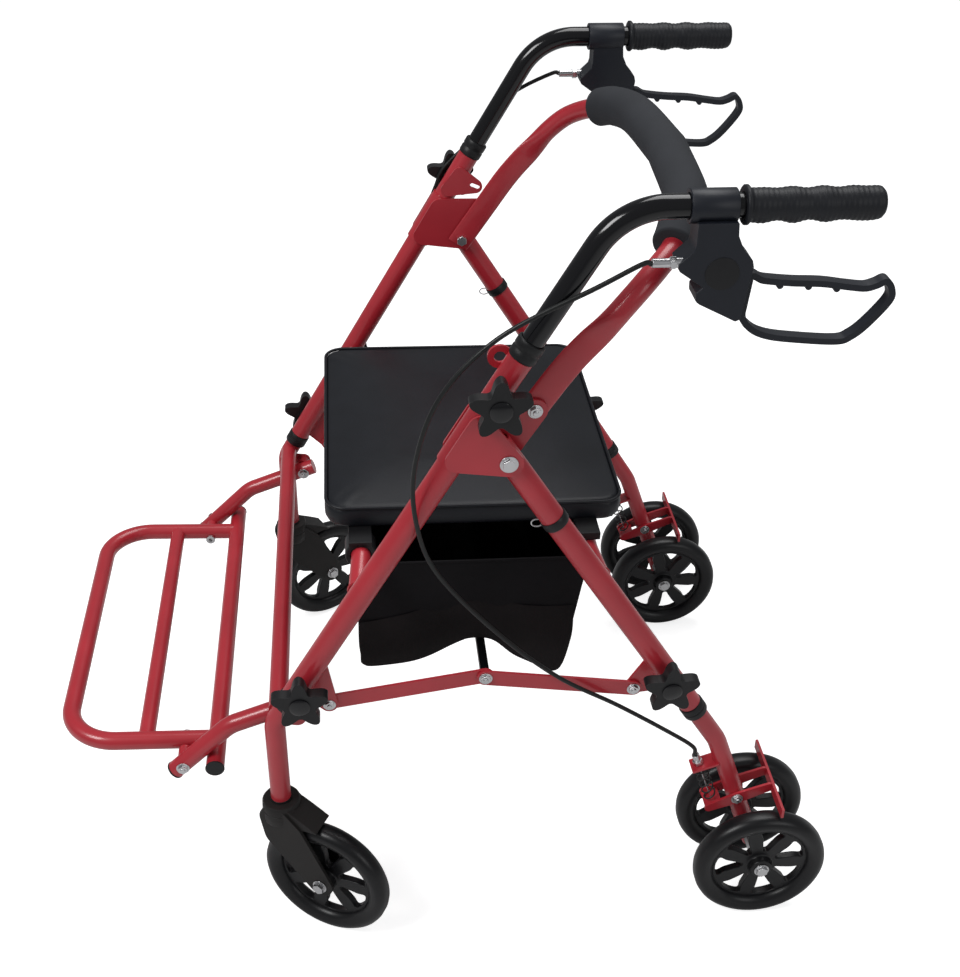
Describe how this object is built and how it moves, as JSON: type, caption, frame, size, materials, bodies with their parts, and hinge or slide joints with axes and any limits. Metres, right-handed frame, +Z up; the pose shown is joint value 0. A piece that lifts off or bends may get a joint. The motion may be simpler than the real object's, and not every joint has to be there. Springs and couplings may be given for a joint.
{
  "type": "rollator wheelchair",
  "caption": "Folding walking frame with a padded seat, curved backrest, under-seat bag, hand brakes, swivelling front casters, paired rear wheels and a flip-up footrest.",
  "frame": {"origin": "on the ground, in the middle of the outline's box", "axes": "+Z up, +X to the left side of a person who walks behind it facing the front, -Y to the front"},
  "size_m": [0.6586, 0.853, 0.8645],
  "materials": {
    "red_paint": "satin powder coat",
    "black_plastic": "moulded",
    "zinc": "zinc plated",
    "grey_paint": "satin",
    "foam": "matte foam",
    "wheel": "satin solid tyre on a moulded rim",
    "fork_plastic": "moulded",
    "strut_steel": "dark satin",
    "seat_shell": "moulded",
    "vinyl": "satin vinyl",
    "black_gloss": "gloss",
    "grip_rubber": "moulded",
    "housing_plastic": "moulded",
    "spring_black": "blackened",
    "cable_sheath": "sheathed",
    "nylon": "woven"
  },
  "bodies": {
    "front_frame": {"front_leg_left": "red_paint", "front_leg_right": "red_paint", "front_cross_tube": "red_paint", "top_collar_left": "black_plastic", "top_collar_right": "black_plastic", "front_collar_left": "black_plastic", "front_collar_right": "black_plastic", "pivot_pin_left": "zinc", "pivot_pin_right": "zinc", "backrest_bar": "red_paint", "backrest_foam": "foam", "bag": "nylon", "brake_cable_left": "cable_sheath", "brake_cable_right": "cable_sheath"},
    "front_lower": {"front_lower_frame": "red_paint", "hanger_left": "red_paint", "hanger_right": "red_paint"},
    "rear_frame": {"rear_leg_left": "red_paint", "rear_leg_right": "red_paint", "rear_cross_tube": "red_paint", "rear_collar_left": "black_plastic", "rear_collar_right": "black_plastic"},
    "spreader_front": {"spreader_front": "red_paint"},
    "spreader_rear": {"rear_link_left": "red_paint", "rear_link_right": "red_paint"},
    "seat": {"seat_board": "seat_shell", "seat_cushion": "vinyl"},
    "footrest": {"footrest_platform": "red_paint"},
    "handle_left": {"handle_tube_left": "black_gloss", "grip_left": "grip_rubber", "brake_housing_left": "housing_plastic"},
    "brake_lever_left": {"brake_lever_left": "housing_plastic"},
    "rear_lower_left": {"rear_insert_left": "red_paint", "rear_axle_left": "zinc", "brake_spring_left": "spring_black"},
    "brake_arm_left": {"brake_arm_left": "red_paint"},
    "caster_left": {"caster_fork_left": "fork_plastic"},
    "caster_wheel_left": {"caster_wheel_left": "wheel"},
    "rear_wheel_left_outer": {"rear_wheel_left_outer": "wheel"},
    "rear_wheel_left_inner": {"rear_wheel_left_inner": "wheel"},
    "upper_knob_left": {"upper_knob_left": "black_plastic"},
    "front_knob_left": {"front_knob_left": "black_plastic"},
    "rear_knob_left": {"rear_knob_left": "black_plastic"},
    "handle_right": {"handle_tube_right": "black_gloss", "grip_right": "grip_rubber", "brake_housing_right": "housing_plastic"},
    "brake_lever_right": {"brake_lever_right": "housing_plastic"},
    "rear_lower_right": {"rear_insert_right": "red_paint", "rear_axle_right": "zinc", "brake_spring_right": "spring_black"},
    "brake_arm_right": {"brake_arm_right": "red_paint"},
    "caster_right": {"caster_fork_right": "fork_plastic"},
    "caster_wheel_right": {"caster_wheel_right": "wheel"},
    "rear_wheel_right_outer": {"rear_wheel_right_outer": "wheel"},
    "rear_wheel_right_inner": {"rear_wheel_right_inner": "wheel"},
    "upper_knob_right": {"upper_knob_right": "black_plastic"},
    "front_knob_right": {"front_knob_right": "black_plastic"},
    "rear_knob_right": {"rear_knob_right": "black_plastic"}
  },
  "joints": [
    {"name": "rear_fold", "type": "hinge", "parent": "front_frame", "child": "rear_frame", "pos_m": [0, 0.0545, 0.605], "axis": [-1, 0, 0], "range_deg": [0, 33], "deforming": ["brake_cable_left", "brake_cable_right", "bag"]},
    {"name": "spreader_front_turn", "type": "hinge", "parent": "front_frame", "child": "spreader_front", "pos_m": [0, -0.1235, 0.306], "axis": [1, 0, 0], "range_deg": [0, 41.9], "deforming": ["bag"]},
    {"name": "spreader_rear_turn", "type": "hinge", "parent": "rear_frame", "child": "spreader_rear", "pos_m": [0, 0.1975, 0.306], "axis": [-1, 0, 0], "range_deg": [0, 37.1]},
    {"name": "front_height", "type": "slide", "parent": "front_frame", "child": "front_lower", "axis": [0, -0.5028, -0.8644], "range_m": [0, 0.04]},
    {"name": "footrest_flip", "type": "hinge", "parent": "front_lower", "child": "footrest", "pos_m": [0, -0.286, 0.204], "axis": [-1, 0, 0], "range_deg": [0, 90]},
    {"name": "seat_flip", "type": "hinge", "parent": "front_frame", "child": "seat", "pos_m": [0, -0.085, 0.453], "axis": [1, 0, 0], "range_deg": [0, 75]},
    {"name": "handle_height_left", "type": "slide", "parent": "front_frame", "child": "handle_left", "axis": [0, 0.5028, 0.8644], "range_m": [-0.05, 0.085], "deforming": ["brake_cable_left"]},
    {"name": "brake_squeeze_left", "type": "hinge", "parent": "handle_left", "child": "brake_lever_left", "pos_m": [0.262, 0.24, 0.775], "axis": [1, 0, 0], "range_deg": [0, 12]},
    {"name": "rear_height_left", "type": "slide", "parent": "rear_frame", "child": "rear_lower_left", "axis": [0, 0.5382, -0.8428], "range_m": [0, 0.04], "deforming": ["brake_cable_left"]},
    {"name": "brake_arm_turn_left", "type": "hinge", "parent": "rear_lower_left", "child": "brake_arm_left", "pos_m": [0.262, 0.32621, 0.14444], "axis": [-1, 0, 0], "range_deg": [0, 3], "deforming": ["brake_spring_left"]},
    {"name": "caster_swivel_left", "type": "hinge", "parent": "front_lower", "child": "caster_left", "pos_m": [0.262, -0.1815, 0.18], "axis": [0, 0, 1], "continuous": true},
    {"name": "caster_wheel_turn_left", "type": "hinge", "parent": "caster_left", "child": "caster_wheel_left", "pos_m": [0.28681, -0.1358, 0.075], "axis": [0.8788, -0.4772, 0], "continuous": true},
    {"name": "rear_wheel_left_outer_turn", "type": "hinge", "parent": "rear_lower_left", "child": "rear_wheel_left_outer", "pos_m": [0.307, 0.3515, 0.075], "axis": [1, 0, 0], "continuous": true},
    {"name": "rear_wheel_left_inner_turn", "type": "hinge", "parent": "rear_lower_left", "child": "rear_wheel_left_inner", "pos_m": [0.217, 0.3515, 0.075], "axis": [1, 0, 0], "continuous": true},
    {"name": "upper_knob_left_turn", "type": "hinge", "parent": "front_frame", "child": "upper_knob_left", "pos_m": [0.2745, 0.0436, 0.672], "axis": [1, 0, 0], "continuous": true},
    {"name": "front_knob_left_turn", "type": "hinge", "parent": "front_frame", "child": "front_knob_left", "pos_m": [0.2745, -0.152, 0.336], "axis": [1, 0, 0], "continuous": true},
    {"name": "rear_knob_left_turn", "type": "hinge", "parent": "rear_frame", "child": "rear_knob_left", "pos_m": [0.2745, 0.23, 0.33], "axis": [1, 0, 0], "continuous": true},
    {"name": "handle_height_right", "type": "slide", "parent": "front_frame", "child": "handle_right", "axis": [0, 0.5028, 0.8644], "range_m": [-0.05, 0.085], "deforming": ["brake_cable_right"]},
    {"name": "brake_squeeze_right", "type": "hinge", "parent": "handle_right", "child": "brake_lever_right", "pos_m": [-0.262, 0.24, 0.775], "axis": [1, 0, 0], "range_deg": [0, 12]},
    {"name": "rear_height_right", "type": "slide", "parent": "rear_frame", "child": "rear_lower_right", "axis": [0, 0.5382, -0.8428], "range_m": [0, 0.04], "deforming": ["brake_cable_right"]},
    {"name": "brake_arm_turn_right", "type": "hinge", "parent": "rear_lower_right", "child": "brake_arm_right", "pos_m": [-0.262, 0.32621, 0.14444], "axis": [-1, 0, 0], "range_deg": [0, 3], "deforming": ["brake_spring_right"]},
    {"name": "caster_swivel_right", "type": "hinge", "parent": "front_lower", "child": "caster_right", "pos_m": [-0.262, -0.1815, 0.18], "axis": [0, 0, 1], "continuous": true},
    {"name": "caster_wheel_turn_right", "type": "hinge", "parent": "caster_right", "child": "caster_wheel_right", "pos_m": [-0.28681, -0.1358, 0.075], "axis": [0.8788, 0.4772, 0], "continuous": true},
    {"name": "rear_wheel_right_outer_turn", "type": "hinge", "parent": "rear_lower_right", "child": "rear_wheel_right_outer", "pos_m": [-0.307, 0.3515, 0.075], "axis": [1, 0, 0], "continuous": true},
    {"name": "rear_wheel_right_inner_turn", "type": "hinge", "parent": "rear_lower_right", "child": "rear_wheel_right_inner", "pos_m": [-0.217, 0.3515, 0.075], "axis": [1, 0, 0], "continuous": true},
    {"name": "upper_knob_right_turn", "type": "hinge", "parent": "front_frame", "child": "upper_knob_right", "pos_m": [-0.2745, 0.0436, 0.672], "axis": [-1, 0, 0], "continuous": true},
    {"name": "front_knob_right_turn", "type": "hinge", "parent": "front_frame", "child": "front_knob_right", "pos_m": [-0.2745, -0.152, 0.336], "axis": [-1, 0, 0], "continuous": true},
    {"name": "rear_knob_right_turn", "type": "hinge", "parent": "rear_frame", "child": "rear_knob_right", "pos_m": [-0.2745, 0.23, 0.33], "axis": [-1, 0, 0], "continuous": true}
  ],
  "couplings": [
    {"joint": "spreader_front_turn", "follows": "rear_fold", "ratio": 1.2688},
    {"joint": "spreader_rear_turn", "follows": "rear_fold", "ratio": 1.123},
    {"joint": "brake_arm_turn_left", "follows": "brake_squeeze_left", "ratio": 0.25},
    {"joint": "brake_arm_turn_right", "follows": "brake_squeeze_right", "ratio": 0.25}
  ]
}
